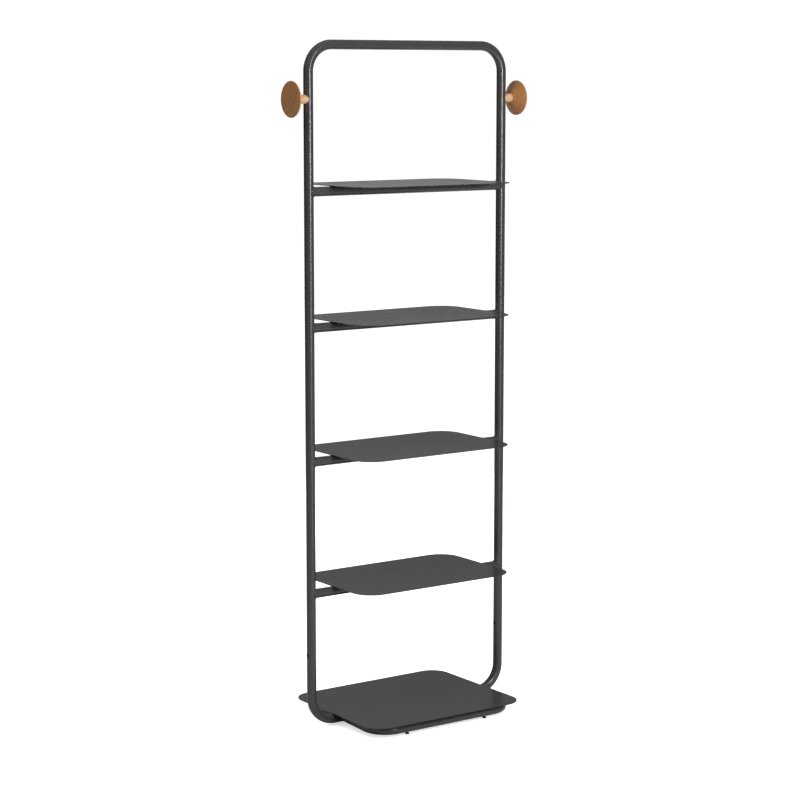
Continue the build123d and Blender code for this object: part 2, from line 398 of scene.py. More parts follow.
loop_bend_r = 0.059
loop_splay = radians(4.0)
loop_reach = -(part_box("front_base_loop")[0].y + tube_r)
loop_corner_x = 0.2211
loop_root_x = loop_corner_x - loop_reach * tan(loop_splay)
loop_stud_x = 0.060
glide_x = 0.128
glide_bush_r = 0.0046
weld_gap = 0.0001

for side, name in ((-1, "front"), (1, "back")):
    y = side * loop_reach
    loop_path = [
        (-loop_root_x, 0, low_z), (-loop_corner_x, y, low_z),
        (loop_corner_x, y, low_z), (loop_root_x, 0, low_z),
    ]
    cuts = [((-post_x, 0, low_z), (post_x, 0, low_z), tube_r + weld_gap)]
    cuts += stud_cuts([(-loop_stud_x, y), (loop_stud_x, y)], low_z)
    cuts += [((x, y, low_z), (x, y, low_z - 2 * tube_r), glide_bush_r) for x in (-glide_x, glide_x)]
    mesh = bend(f"{name}_loop_tube", loop_path, cuts, loop_bend_r)
    finished(f"{name}_loop_tube", mesh, "coated_steel", "frame", f"{name}_base_loop")


# ---- Crossbars ----
# Four straight lengths of the same tube, coped at both ends to the round of the posts and welded there.
# Each carries a shelf on three weld studs that drop through its top wall.

shelf_stud_xs = (-0.180, 0.0, 0.180)
cope_reach = 0.05
bar_zs = []
for number in range(1, 5):
    bar_low, bar_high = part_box(f"crossbar_{number}")
    axis_z = (bar_low.z + bar_high.z) / 2
    bar_zs.append(axis_z)
    below, above = axis_z - cope_reach, axis_z + cope_reach
    cuts = [((x, 0, below), (x, 0, above), tube_r + weld_gap) for x in (-post_x, post_x)]
    cuts += stud_cuts([(x, 0) for x in shelf_stud_xs], axis_z)
    mesh = bend(f"crossbar_tube_{number}", [(-post_x, 0, axis_z), (post_x, 0, axis_z)], cuts, 0.0)
    finished(f"crossbar_tube_{number}", mesh, "coated_steel", "frame", f"crossbar_{number}")


# ---- Welds ----
# A MIG fillet runs round every coped tube end where it meets the tube it stands on, and is coated over.
# The loops' beads are dressed down to almost nothing on top, where the base plate lies, and below.

bead_r = 0.0016
bead_lift = 0.0003
bead_step = 0.0006
bead_pitch = 0.0026
bead_ripple = 0.10
bead_wander_size = 120.0
bead_round_steps = 14
saddle_steps = 72
dressed_least = 0.1


def bead_layer():
    """Node tree that lays a rippled weld bead along closed paths."""
    tree = bpy.data.node_groups.new("bead_layer", "GeometryNodeTree")
    sockets_of(tree, {
        "Path": "Geometry",
        "Bead Radius": "Float",
        "Bead Step": "Float",
        "Ripple": "Float",
        "Ripple Pitch": "Float",
        "Round Steps": "Int",
        "Seed": "Float",
        "Finish": "Material",
    })
    layer = Nodes(tree)
    given = layer.add("NodeGroupInput")
    line = layer.add("GeometryNodeMeshToCurve", {}, {"Mesh": given})
    even = layer.add("GeometryNodeResampleCurve", {"mode": "LENGTH"}, {
        "Curve": line,
        "Length": given.also("Bead Step"),
    })
    run = layer.add("GeometryNodeSplineParameter", output="Length")
    swell = layer.add("GeometryNodeInputNamedAttribute", {"data_type": "FLOAT"}, {"Name": "swell"})
    wander = layer.add("ShaderNodeTexNoise", {"noise_dimensions": "4D"}, {
        "Scale": bead_wander_size,
        "W": given.also("Seed"),
    })
    ripple = layer.add(
        "ShaderNodeMath", {"operation": "SINE"}, {0: run * (2 * pi) / given.also("Ripple Pitch")}
    )
    thickness = given.also("Bead Radius") * swell * (1 + given.also("Ripple") * (ripple + wander - 0.5))
    ring = layer.add("GeometryNodeCurvePrimitiveCircle", {}, {
        "Resolution": given.also("Round Steps"),
        "Radius": 1.0,
    })
    bead = layer.add("GeometryNodeCurveToMesh", {}, {
        "Curve": even,
        "Profile Curve": ring,
        "Scale": thickness,
    })
    smooth = layer.add("GeometryNodeSetShadeSmooth", {}, {"Geometry": bead, "Shade Smooth": True})
    whole = layer.add("GeometryNodeRealizeInstances", {}, {"Geometry": smooth})
    coated = layer.add("GeometryNodeSetMaterial", {}, {
        "Geometry": whole,
        "Material": given.also("Finish"),
    })
    layer.add("NodeGroupOutput", {}, {"Geometry": coated})
    return tree


def saddle(root, along, against):
    """Closed line where a tube's end meets the wall of the tube it stands on, and how thick its bead is.

    along is the way the tube leaves that wall, and against is the other tube's axis, both level or upright.
    """
    reach = tube_r + bead_lift
    facing = against.cross(along.cross(against)).normalized()
    across = along.cross(Vector((0, 0, 1)) if against.z == 0 else Vector((0, 1, 0))).normalized()
    upright = along.cross(across).normalized()
    line = []
    for step in range(saddle_steps):
        turn = 2 * pi * step / saddle_steps
        rim = reach * (cos(turn) * across + sin(turn) * upright)
        level = against.cross(facing)
        depth = sqrt(max(0.0, reach**2 - rim.dot(level) ** 2))
        line.append(root + rim + along * ((depth - rim.dot(facing)) / along.dot(facing)))
    return line


def loops(lines, swells):
    """Mesh of closed lines for a node tree to follow; swells is the thickness at each point of each line."""
    mesh = bpy.data.meshes.new("loops")
    points = [point for line in lines for point in line]
    edges = []
    for line in lines:
        start = len(edges)
        edges += [(start + place, start + (place + 1) % len(line)) for place in range(len(line))]
    mesh.from_pydata(points, edges, [])
    swell = [amount for line in swells for amount in line]
    mesh.attributes.new("swell", "FLOAT", "POINT").data.foreach_set("value", swell)
    return mesh


bead_tree = bead_layer()
bar_lines = []
for axis_z in bar_zs:
    for side in (-1, 1):
        root = Vector((side * post_x, 0, axis_z))
        bar_lines.append(saddle(root, Vector((-side, 0, 0)), Vector((0, 0, 1))))
loop_lines = []
for end in (-1, 1):
    for side in (-1, 1):
        along = Vector((end * sin(loop_splay), side * cos(loop_splay), 0))
        loop_lines.append(saddle(Vector((end * loop_root_x, 0, low_z)), along, Vector((1, 0, 0))))
weld_settings = {
    "bead_radius": bead_r,
    "bead_step": bead_step,
    "ripple": bead_ripple,
    "ripple_pitch": bead_pitch,
    "round_steps": bead_round_steps,
    "finish": coated_steel,
}
full_swell = [[1.0] * saddle_steps] * len(bar_lines)
turns = [2 * pi * step / saddle_steps for step in range(saddle_steps)]
dressed_swell = [[max(dressed_least, abs(cos(turn))) for turn in turns]] * len(loop_lines)
mesh = grow("crossbar_welds", loops(bar_lines, full_swell), bead_tree, seed=3.0, **weld_settings)
finished("crossbar_welds", mesh, "coated_steel", "frame", sharp=80)
mesh = grow("base_loop_welds", loops(loop_lines, dressed_swell), bead_tree, seed=8.0, **weld_settings)
finished("base_loop_welds", mesh, "coated_steel", "frame", sharp=80)


# ---- Base plate ----
# A 3 mm laser-cut steel sheet with round corners, coated like the tubes, with six weld studs under it.
# It lies on the hoop's bottom run and on both loops, and reaches past the loops at front and back.

edge_r = 0.0005
edge_steps = 4
hold = 0.0004
corner_steps = 24
base_corner_r = 0.052


def rounded_outline(low, high, corner_r, inset, z):
    """Points round a rectangle with round corners, pulled in by inset."""
    radius = corner_r - inset
    right, left = high.x - corner_r, low.x + corner_r
    back, front = high.y - corner_r, low.y + corner_r
    points = []
    for quarter, (x, y) in enumerate([(right, back), (left, back), (left, front), (right, front)]):
        for step in range(corner_steps + 1):
            turn = (quarter + step / corner_steps) * pi / 2
            points.append((x + radius * cos(turn), y + radius * sin(turn), z))
    return points


def stack(name, rings, material):
    """Closed skin over a stack of like rings of points, the first and last capped flat."""
    mesh = bpy.data.meshes.new(name)
    count = len(rings[0])
    faces = [list(reversed(range(count)))]
    for level in range(len(rings) - 1):
        for place in range(count):
            after = (place + 1) % count
            low, high = level * count, (level + 1) * count
            faces.append([low + place, low + after, high + after, high + place])
    faces.append(list(range((len(rings) - 1) * count, len(rings) * count)))
    mesh.from_pydata([point for ring in rings for point in ring], [], faces)
    mesh.materials.append(material)
    mesh.polygons.foreach_set("use_smooth", [True] * len(mesh.polygons))
    return mesh


def sheet(name, low, high, corner_r):
    """A flat sheet that fills a box, with round corners and its cut edges eased."""
    turns = [step / edge_steps * pi / 2 for step in range(edge_steps + 1)]
    steps = [(edge_r + hold, low.z)]
    steps += [(edge_r * (1 - sin(turn)), low.z + edge_r * (1 - cos(turn))) for turn in turns]
    steps += [(edge_r * (1 - cos(turn)), high.z - edge_r * (1 - sin(turn))) for turn in turns]
    steps += [(edge_r + hold, high.z)]
    rings = [rounded_outline(low, high, corner_r, inset, z) for inset, z in steps]
    return stack(name, rings, coated_steel)


mesh = sheet("base_sheet", *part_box("base_plate"), base_corner_r)
finished("base_sheet", mesh, "coated_steel", "frame", "base_plate")


# ---- Shelves ----
# Four 2 mm sheets of the same make, each centred on its crossbar and held by three weld studs.
# They stand clear of the posts at both sides, so a finger goes round them.

shelf_corner_r = 0.061
for number in range(1, 5):
    mesh = sheet(f"shelf_sheet_{number}", *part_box(f"shelf_{number}"), shelf_corner_r)
    finished(f"shelf_sheet_{number}", mesh, "coated_steel", "frame", f"shelf_{number}")


# ---- Weld studs, washers and nuts ----
# M5 studs are shot-welded under every sheet and pulled down inside the tubes by a washer and a hexagon nut.
# All are bright zinc plated, and a socket reaches them through the holes in the tubes' undersides.


def bright_zinc(name):
    """Zinc plating: cool grey metal, cloudy where it has dulled, with fine drawn scratches."""
    plate = Finish(name)
    cloud = plate.noise(0.004, 3.0)
    scratch = plate.noise(0.0003, 2.0, plate.stretch((0.0, 0.0, 0.0), (1.0, 1.0, 12.0)))
    dulled = plate.ramp(cloud, [(0.35, 0.0), (0.7, 1.0)])
    tone = plate.blend(dulled, colour(176, 178, 180), colour(140, 144, 146))
    return plate.surface(
        Base_Color=tone, Metallic=1.0, Roughness=0.26 + 0.16 * cloud + 0.08 * scratch,
        Normal=plate.bump(scratch, 0.000008),
    )


zinc = bright_zinc("bright_zinc")


def thread_roller():
    """Node tree that rolls a pointed thread round a rod, and sets a copy of the rod on every point."""
    tree = bpy.data.node_groups.new("thread_roller", "GeometryNodeTree")
    sockets_of(tree, {
        "Places": "Geometry",
        "Rod Radius": "Float",
        "Rod Length": "Float",
        "Pitch": "Float",
        "Thread Depth": "Float",
        "Lead In": "Float",
        "Round Steps": "Int",
        "Long Steps": "Int",
        "Finish": "Material",
    })
    roller = Nodes(tree)
    given = roller.add("NodeGroupInput")
    radius = given.also("Rod Radius")
    half = given.also("Rod Length") * 0.5
    rod = roller.add("GeometryNodeMeshCylinder", {"fill_type": "TRIANGLE_FAN"}, {
        "Vertices": given.also("Round Steps"),
        "Side Segments": given.also("Long Steps"),
        "Radius": radius,
        "Depth": given.also("Rod Length"),
    })
    place = roller.add("GeometryNodeInputPosition")
    split = roller.add("ShaderNodeSeparateXYZ", {}, {"Vector": place})
    around = split.also("Y").math("ARCTAN2", split.also("Y"), split.also("X")) / (2 * pi)
    phase = (split.also("Z") / given.also("Pitch") - around) % 1.0
    groove = roller.add("ShaderNodeMath", {"operation": "ABSOLUTE"}, {0: 2 * phase - 1})
    from_end = half - roller.add("ShaderNodeMath", {"operation": "ABSOLUTE"}, {0: split.also("Z")})
    lead = roller.add("ShaderNodeMath", {"operation": "SUBTRACT", "use_clamp": True}, {
        0: 1.0,
        1: from_end / given.also("Lead In"),
    })
    shrink = 1 - given.also("Thread Depth") / radius * groove.math("MAXIMUM", groove, lead)
    narrow = roller.add("ShaderNodeCombineXYZ", {}, {"X": shrink, "Y": shrink, "Z": 1.0})
    rolled = roller.add("ShaderNodeVectorMath", {"operation": "MULTIPLY"}, {0: place, 1: narrow})
    shaped = roller.add("GeometryNodeSetPosition", {}, {"Geometry": rod, "Position": rolled})
    copies = roller.add("GeometryNodeInstanceOnPoints", {}, {"Points": given, "Instance": shaped})
    smooth = roller.add("GeometryNodeSetShadeSmooth", {}, {"Geometry": copies, "Shade Smooth": True})
    whole = roller.add("GeometryNodeRealizeInstances", {}, {"Geometry": smooth})
    plated = roller.add("GeometryNodeSetMaterial", {}, {
        "Geometry": whole,
        "Material": given.also("Finish"),
    })
    roller.add("NodeGroupOutput", {}, {"Geometry": plated})
    return tree


roller = thread_roller()


def spots(places):
    """Mesh of loose points, for copies to stand on."""
    mesh = bpy.data.meshes.new("spots")
    mesh.from_pydata(places, [], [])
    return mesh


thread_round_steps = 24
thread_long_steps = 8


def threaded(name, places, radius, length, pitch, depth, finish):
    """Threaded rods standing upright with their middles on the given places."""
    return grow(
        name, spots(places), roller, rod_radius=radius, rod_length=length, pitch=pitch,
        thread_depth=depth, lead_in=pitch, round_steps=thread_round_steps,
        long_steps=round(thread_long_steps * length / pitch), finish=finish,
    )


def lathe(name, profile, finish, hollow=False, steps=48):
    """Turn a profile of (height, radius) points round the Z axis; a hollow one closes on itself."""
    turned = bmesh.new()
    rings = []
    turns = [2 * pi * step / steps for step in range(steps)]
    for height, radius in profile:
        if radius == 0:
            rings.append([turned.verts.new((0, 0, height))] * steps)
            continue
        round_it = [(radius * cos(turn), radius * sin(turn), height) for turn in turns]
        rings.append([turned.verts.new(point) for point in round_it])
    pairs = list(zip(rings, rings[1:]))
    if hollow:
        pairs.append((rings[-1], rings[0]))
    for low, high in pairs:
        for step in range(steps):
            after = (step + 1) % steps
            corners = [low[step], low[after], high[after], high[step]]
            turned.faces.new(dict.fromkeys(corners))
    bmesh.ops.recalc_face_normals(turned, faces=turned.faces)
    mesh = bpy.data.meshes.new(name)
    turned.to_mesh(mesh)
    turned.free()
    mesh.materials.append(finish)
    mesh.polygons.foreach_set("use_smooth", [True] * len(mesh.polygons))
    return mesh


def rounded(profile, radius, steps=5):
    """Ease the corners of a profile: a corner is given as (height, radius, True)."""
    eased = []
    for place, corner in enumerate(profile):
        if len(corner) == 2:
            eased.append(corner)
            continue
        here = Vector(corner[:2])
        before = (Vector(profile[place - 1][:2]) - here).normalized()
        after = (Vector(profile[place + 1][:2]) - here).normalized()
        for step in range(steps + 1):
            share = step / steps
            bow = (1 - share) ** 2 * before + share**2 * after
            eased.append(tuple(here + radius * bow))
    return eased


def hexagon(name, across, bottom, top, finish):
    """Hexagonal prism on the Z axis, across its flats."""
    corners = [pi / 3 * corner for corner in range(6)]
    reach = across / 2 / cos(pi / 6)
    rings = [[(reach * cos(turn), reach * sin(turn), z) for turn in corners] for z in (bottom, top)]
    return stack(name, rings, finish)


def carved(mesh, other, operation):
    """Cut another mesh away from a mesh, or keep only what both fill."""
    holder, tool = link("holder", mesh), link("tool", other)
    modifier = holder.modifiers.new("carve", "BOOLEAN")
    modifier.operation = operation
    modifier.object = tool
    graph = bpy.context.evaluated_depsgraph_get()
    plain = bpy.data.meshes.new_from_object(holder.evaluated_get(graph), depsgraph=graph)
    plain.name = mesh.name
    bpy.data.objects.remove(holder)
    bpy.data.objects.remove(tool)
    return plain


def joined(name, meshes):
    """Several meshes as one, each with its own finish."""
    whole = bmesh.new()
    finishes = []
    for mesh in meshes:
        start = len(whole.faces)
        whole.from_mesh(mesh)
        whole.faces.ensure_lookup_table()
        if mesh.materials[0] not in finishes:
            finishes.append(mesh.materials[0])
        for face in whole.faces[start:]:
            face.material_index = finishes.index(mesh.materials[0])
    mesh = bpy.data.meshes.new(name)
    whole.to_mesh(mesh)
    whole.free()
    for finish in finishes:
        mesh.materials.append(finish)
    return mesh


def copier():
    """Node tree that sets a copy of a part on every point."""
    tree = bpy.data.node_groups.new("copier", "GeometryNodeTree")
    sockets_of(tree, {"Places": "Geometry", "Part": "Object", "Finish": "Material"})
    nodes = Nodes(tree)
    given = nodes.add("NodeGroupInput")
    part = nodes.add("GeometryNodeObjectInfo", {}, {"Object": given.also("Part")}, output="Geometry")
    copies = nodes.add("GeometryNodeInstanceOnPoints", {}, {"Points": given, "Instance": part})
    whole = nodes.add("GeometryNodeRealizeInstances", {}, {"Geometry": copies})
    plated = nodes.add("GeometryNodeSetMaterial", {}, {
        "Geometry": whole,
        "Material": given.also("Finish"),
    })
    nodes.add("NodeGroupOutput", {}, {"Geometry": plated})
    return tree


copy_tree = copier()


def copied(name, part, places, finish):
    """Copies of one small mesh on a list of places, as one mesh."""
    holder = link("part", part)
    mesh = grow(name, spots(places), copy_tree, part=holder, finish=finish)
    bpy.data.objects.remove(holder)
    return mesh


stud_r = 0.0025
stud_pitch = 0.0008
stud_thread_depth = 0.00042
stud_past_nut = 0.001
washer_r = 0.005
washer_h = 0.001
washer_hole_r = 0.0028
washer_ease = 0.0002
nut_across = 0.008
nut_h = 0.004
nut_face_r = 0.0037
nut_slope = radians(30)
nut_turn = radians(11)
thread_gap = 0.00005
washer_gap = 0.0001
over = 0.0002

# Each row of tube: the height of its axis, the underside of its sheet, and where its studs are
bore_r = tube_r - tube_wall
base_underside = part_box("base_plate")[0].z
base_studs = [(-base_stud_x, 0), (base_stud_x, 0)]
base_studs += [(x, y) for x in (-loop_stud_x, loop_stud_x) for y in (-loop_reach, loop_reach)]
rows = [(low_z, base_underside, base_studs)]
for number, axis_z in enumerate(bar_zs, 1):
    rows.append((axis_z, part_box(f"shelf_{number}")[0].z, [(x, 0) for x in shelf_stud_xs]))

washer_top = sqrt(bore_r**2 - washer_r**2) - washer_gap
nut_top = washer_top - washer_h
stud_bottom = nut_top - nut_h - stud_past_nut

stud_meshes = []
for axis_z, underside, places in rows:
    length = underside - axis_z - stud_bottom
    middles = [(x, y, underside - length / 2) for x, y in places]
    stud_meshes.append(threaded("studs", middles, stud_r, length, stud_pitch, stud_thread_depth, zinc))
finished("stud_rods", joined("stud_rods", stud_meshes), "zinc_steel", "frame", "weld_studs")

washer = lathe("washer", rounded([
    (-washer_h, washer_hole_r), (-washer_h, washer_r, True), (0, washer_r, True), (0, washer_hole_r),
], washer_ease), zinc, hollow=True)
washer_places = [(x, y, axis_z + washer_top) for axis_z, underside, places in rows for x, y in places]
mesh = copied("washer_rings", washer, washer_places, zinc)
finished("washer_rings", mesh, "zinc_steel", "frame", "stud_washers")

nut = hexagon("nut", nut_across, -nut_h, 0, zinc)
nut.transform(Matrix.Rotation(nut_turn, 4, "Z"))
nut = carved(nut, lathe("cones", [
    (-nut_h - over, 0), (-nut_h - over, nut_face_r - over / tan(nut_slope)),
    (-nut_h / 2, nut_face_r + nut_h / 2 / tan(nut_slope)),
    (over, nut_face_r - over / tan(nut_slope)), (over, 0),
], zinc), "INTERSECT")
bore = ((0, 0, -2 * nut_h), (0, 0, nut_h), stud_r + thread_gap)
nut = carved(nut, rods([bore], thread_round_steps), "DIFFERENCE")
nut_places = [(x, y, axis_z + nut_top) for axis_z, underside, places in rows for x, y in places]
finished("hexagon_nuts", copied("hexagon_nuts", nut, nut_places, zinc), "zinc_steel", "frame", "stud_nuts")


# ---- Spigots and joint bolts ----
# A drawn steel sleeve in each lower post slides up into the upper one, so the shelf ships in two halves.
# A low-headed black screw from outside meets a barrel nut from inside, both turned with a hexagon key.

for name in ("left_spigot", "right_spigot"):
    frame["nodes"][name].material_slots[0].material = zinc


def black_oxide(name):
    """Blackened screw steel: nearly black, a little brown where the oil has dried."""
    steel = Finish(name)
    patch = steel.noise(0.002, 2.0)
    tone = steel.blend(patch, colour(6, 6, 6), colour(13, 12, 11))
    return steel.surface(
        Base_Color=tone, Roughness=0.56 + 0.14 * patch, Specular_IOR_Level=0.08,
        Normal=steel.bump(patch, 0.00001),
    )


black_steel = black_oxide("black_oxide")

head_r = 0.005
head_h = 0.0022
head_sink = 0.0002
head_ease = 0.0005
socket_across = 0.004
socket_depth = 0.0014
bolt_r = 0.003
bolt_reach = 0.007
barrel_r = 0.004
barrel_reach = 0.002
barrel_bore_depth = 0.010
head_seat = tube_r - head_sink - head_h

bolt_tip = -(head_seat + bolt_reach)
bolt_profile = rounded([
    (bolt_tip, 0), (bolt_tip, bolt_r, True), (0, bolt_r), (0, head_r),
    (head_h, head_r, True), (head_h, 0),
], head_ease)
barrel_end = -(head_seat + barrel_reach)
barrel_profile = rounded([
    (barrel_end + barrel_bore_depth, 0), (barrel_end + barrel_bore_depth, bolt_r + thread_gap),
    (barrel_end, bolt_r + thread_gap), (barrel_end, barrel_r), (0, barrel_r), (0, head_r),
    (head_h, head_r, True), (head_h, 0),
], head_ease)


def joint_parts(name, profile, way):
    """The like screws of both posts, each pointing its head outwards (1) or inwards (-1)."""
    parts = []
    for side in (-1, 1):
        key = hexagon("key", socket_across, head_h - socket_depth, head_h + socket_depth, black_steel)
        part = carved(lathe(name, profile, black_steel), key, "DIFFERENCE")
        facing = Vector((side * way, 0, 0))
        seat = Vector((side * post_x, 0, joint_z)) + facing * head_seat
        part.transform(Matrix.Translation(seat) @ facing.to_track_quat("Z", "Y").to_matrix().to_4x4())
        parts.append(part)
    return joined(name, parts)


mesh = joint_parts("joint_screws", bolt_profile, 1)
finished("joint_screws", mesh, "black_steel", "frame", "joint_bolts")
mesh = joint_parts("joint_barrels", barrel_profile, -1)
finished("joint_barrels", mesh, "black_steel", "frame", "joint_barrel_nuts")


# ---- Screw glides ----
# Four M6 studs with moulded black nylon feet screw into threaded bushes welded in the loops' undersides.
# Each is turned by hand to level the shelf on an uneven floor.


def moulded_nylon(name):
    """Black nylon: dull, with the fine spark texture of its mould and a scuffed bloom."""
    nylon = Finish(name)
    spark = nylon.noise(0.0004, 2.0)
    bloom = nylon.noise(0.003, 2.0)
    tone = nylon.blend(bloom, colour(13, 13, 13), colour(23, 23, 24))
    return nylon.surface(
        Base_Color=tone, Roughness=0.50 + 0.12 * bloom, Normal=nylon.bump(spark, 0.00002)
    )


black_nylon = moulded_nylon("moulded_nylon")

foot_r = 0.0052
foot_h = 0.0036
foot_floor = 0.0016
foot_ease = 0.0008
foot_dish_r = 0.0030
foot_dish = 0.0003
glide_r = 0.003
glide_length = 0.022
glide_pitch = 0.001
glide_thread_depth = 0.00055
bush_r = 0.0045
bush_length = 0.0094
bush_proud = 0.0004

glide_places = [(x, y) for y in (-loop_reach, loop_reach) for x in (-glide_x, glide_x)]
for x, y in glide_places:
    corner = ("front" if y < 0 else "back") + "_" + ("left" if x < 0 else "right")
    foot = lathe(f"{corner}_foot_cap", rounded([
        (foot_dish, 0), (foot_dish, foot_dish_r), (0, foot_dish_r + foot_dish), (0, foot_r, True),
        (foot_h, foot_r, True), (foot_h, glide_r + thread_gap),
        (foot_floor, glide_r + thread_gap), (foot_floor, 0),
    ], foot_ease), black_nylon)
    foot.transform(Matrix.Translation((x, y, 0)))
    finished(f"{corner}_foot_cap", foot, "black_nylon", f"{corner}_glide", f"{corner}_glide_foot")
    middle = (x, y, foot_floor + glide_length / 2)
    mesh = threaded(
        f"{corner}_glide_screw", [middle], glide_r, glide_length, glide_pitch, glide_thread_depth,
        black_steel,
    )
    finished(f"{corner}_glide_screw", mesh, "zinc_steel", f"{corner}_glide", f"{corner}_glide_stem")

bush = lathe("bush", rounded([
    (0, glide_r + thread_gap), (0, bush_r, True),
    (bush_length, bush_r), (bush_length, glide_r + thread_gap),
], bush_proud), zinc, hollow=True)
bush_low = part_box("glide_bushes")[0].z
bush_places = [(x, y, bush_low) for x in (-glide_x, glide_x) for y in (-loop_reach, loop_reach)]
mesh = copied("glide_bush_rings", bush, bush_places, zinc)
finished("glide_bush_rings", mesh, "zinc_steel", "frame", "glide_bushes")


# ---- Coat knobs ----
# A turned hardwood disc, stained brown and matt oiled, is glued on the tenon of a pale dowel.
# The dowel's other end is hollowed to the round of the post, and a stud from a welded bush pulls it tight.

for name in ("knob_bushes", "knob_studs"):
    frame["nodes"][name].material_slots[0].material = zinc


def turned_wood(name, pith, turn, ring_gap, early, late, pore, pore_share, gloss):
    """Timber with growth rings round its pith, short dark pores along the grain and a little mottle.

    The grain runs along the turned Z axis of the coordinates.
    """
    wood = Finish(name)
    grain = wood.stretch(pith, (1.0, 1.0, 8.0), turn)
    drift = wood.noise(0.030, 2.0, grain)
    fine = wood.noise(0.0012, 3.0, grain)
    apart = wood.add("ShaderNodeSeparateXYZ", {}, {"Vector": grain})
    across = wood.add("ShaderNodeCombineXYZ", {}, {"X": apart, "Y": apart.also("Y")})
    radius = wood.add("ShaderNodeVectorMath", {"operation": "LENGTH"}, {0: across}, output="Value")
    ring = (radius + 0.006 * drift + 0.0006 * fine) / ring_gap % 1.0
    band = wood.ramp(ring, [(0.0, 0.15), (0.55, 0.35), (0.88, 1.0), (1.0, 0.15)])
    streaks = wood.noise(0.0005, 1.0, wood.stretch(pith, (1.0, 1.0, 20.0), turn))
    pores = wood.ramp(streaks, [(0.60, 0.0), (0.68, 1.0)])
    mottle = wood.noise(0.011, 2.0, grain)
    board = wood.blend(0.7 * band + 0.3 * fine, early, late)
    uneven = wood.blend(0.35 * mottle, board, late)
    open_grain = wood.blend(pores * pore_share, uneven, pore)
    return wood.surface(
        Base_Color=open_grain, Roughness=gloss + 0.10 * fine + 0.12 * pores,
        Normal=wood.bump(0.3 * fine - pores, 0.00012),
    )


leaning_grain = (radians(42), 0.0, 0.0)
upright_grain = (radians(-8), 0.0, 0.0)
dowel_grain = (0.0, pi / 2, 0.0)
# Both discs are one stained wood. The left disc's late wood and pores are painted lighter than the right's:
# painted light on its face, which turns away from the lamps.
disc_woods_left_painted_lighter = {
    -1: turned_wood(
        "stained_disc_left", (-0.25, 0.015, 1.60), leaning_grain, 0.0036,
        colour(193, 138, 88), colour(147, 100, 62), colour(80, 50, 30), 0.55, 0.50,
    ),
    1: turned_wood(
        "stained_disc_right", (0.25, 0.020, 1.70), upright_grain, 0.0038,
        colour(201, 143, 84), colour(110, 68, 37), colour(62, 38, 21), 0.55, 0.50,
    ),
}
pale_wood = turned_wood(
    "pale_dowel", (0.0, 0.035, knob_z + 0.02), dowel_grain, 0.0030,
    colour(205, 170, 133), colour(188, 148, 108), colour(156, 113, 76), 0.35, 0.50,
)

stem_r = 0.012
stem_length = 0.031
saddle_gap = 0.0002
saddle_reach = 0.1
tenon_r = 0.007
tenon_length = 0.012
glue_gap = 0.0001
knob_stud_r = 0.003
knob_stud_reach = 0.041
knob_ease = 0.0006
disc_r = 0.047
collar_r = 0.0135
cone_length = 0.019
rim_w = 0.004
rim_round = 0.001
rim_steps = 12
crown = 0.0026
crown_steps = 20

rim_back = stem_length + cone_length
rim_front = rim_back + rim_w
mortise_end = stem_length + tenon_length + glue_gap
face_r = disc_r - rim_round

# The face is part of a large ball, flat in its middle and meeting the rim all round
ball_r = (face_r**2 + crown**2) / (2 * crown)
face = []
for step in range(crown_steps + 1):
    radius = face_r * (1 - step / crown_steps)
    face.append((rim_front + crown - (ball_r - sqrt(ball_r**2 - radius**2)), radius))

# The rim bows out by rim_round between the cone and the face
rim = []
bow_r = (rim_w**2 / 4 + rim_round**2) / (2 * rim_round)
for step in range(1, rim_steps):
    along = rim_w * step / rim_steps - rim_w / 2
    rim.append((rim_back + rim_w / 2 + along, disc_r - bow_r + sqrt(bow_r**2 - along**2)))

disc_profile = [
    (mortise_end, 0), (mortise_end, tenon_r + glue_gap), (stem_length, tenon_r + glue_gap),
    (stem_length, collar_r, True), (rim_back, face_r),
] + rim + face
stem_profile = [
    (0, 0), (0, stem_r), (stem_length, stem_r, True), (stem_length, tenon_r),
    (stem_length + tenon_length, tenon_r, True), (stem_length + tenon_length, 0),
]

for side, name in ((-1, "left"), (1, "right")):
    facing = Vector((side, 0, 0)).to_track_quat("Z", "Y").to_matrix().to_4x4()
    stand = Matrix.Translation((side * post_x, 0, knob_z)) @ facing
    disc = lathe(f"{name}_disc", rounded(disc_profile, knob_ease), disc_woods_left_painted_lighter[side], steps=128)
    disc.transform(stand)
    finished(f"{name}_disc", disc, "brown_wood", "frame", f"{name}_knob_disc")
    stem = lathe(f"{name}_stem", rounded(stem_profile, knob_ease), pale_wood, steps=96)
    stem.transform(stand)
    below = (side * post_x, 0, knob_z - saddle_reach)
    above = (side * post_x, 0, knob_z + saddle_reach)
    post = (below, above, tube_r + saddle_gap)
    bore_end = side * (post_x + knob_stud_reach)
    bore = ((0, 0, knob_z), (bore_end, 0, knob_z), knob_stud_r + thread_gap)
    stem = carved(carved(stem, rods([post], 96), "DIFFERENCE"), rods([bore]), "DIFFERENCE")
    finished(f"{name}_stem", stem, "pale_wood", "frame", f"{name}_knob_stem")


# ---- Studio ----
# A white paper floor that runs on into a white backdrop, in a room that is dark low down and paler above.
# A high and a low soft box behind put the sheen on the shelves, and a row of small ones in front draws
# the line of light down the posts. The four boxes that make no sheen fill in all round.

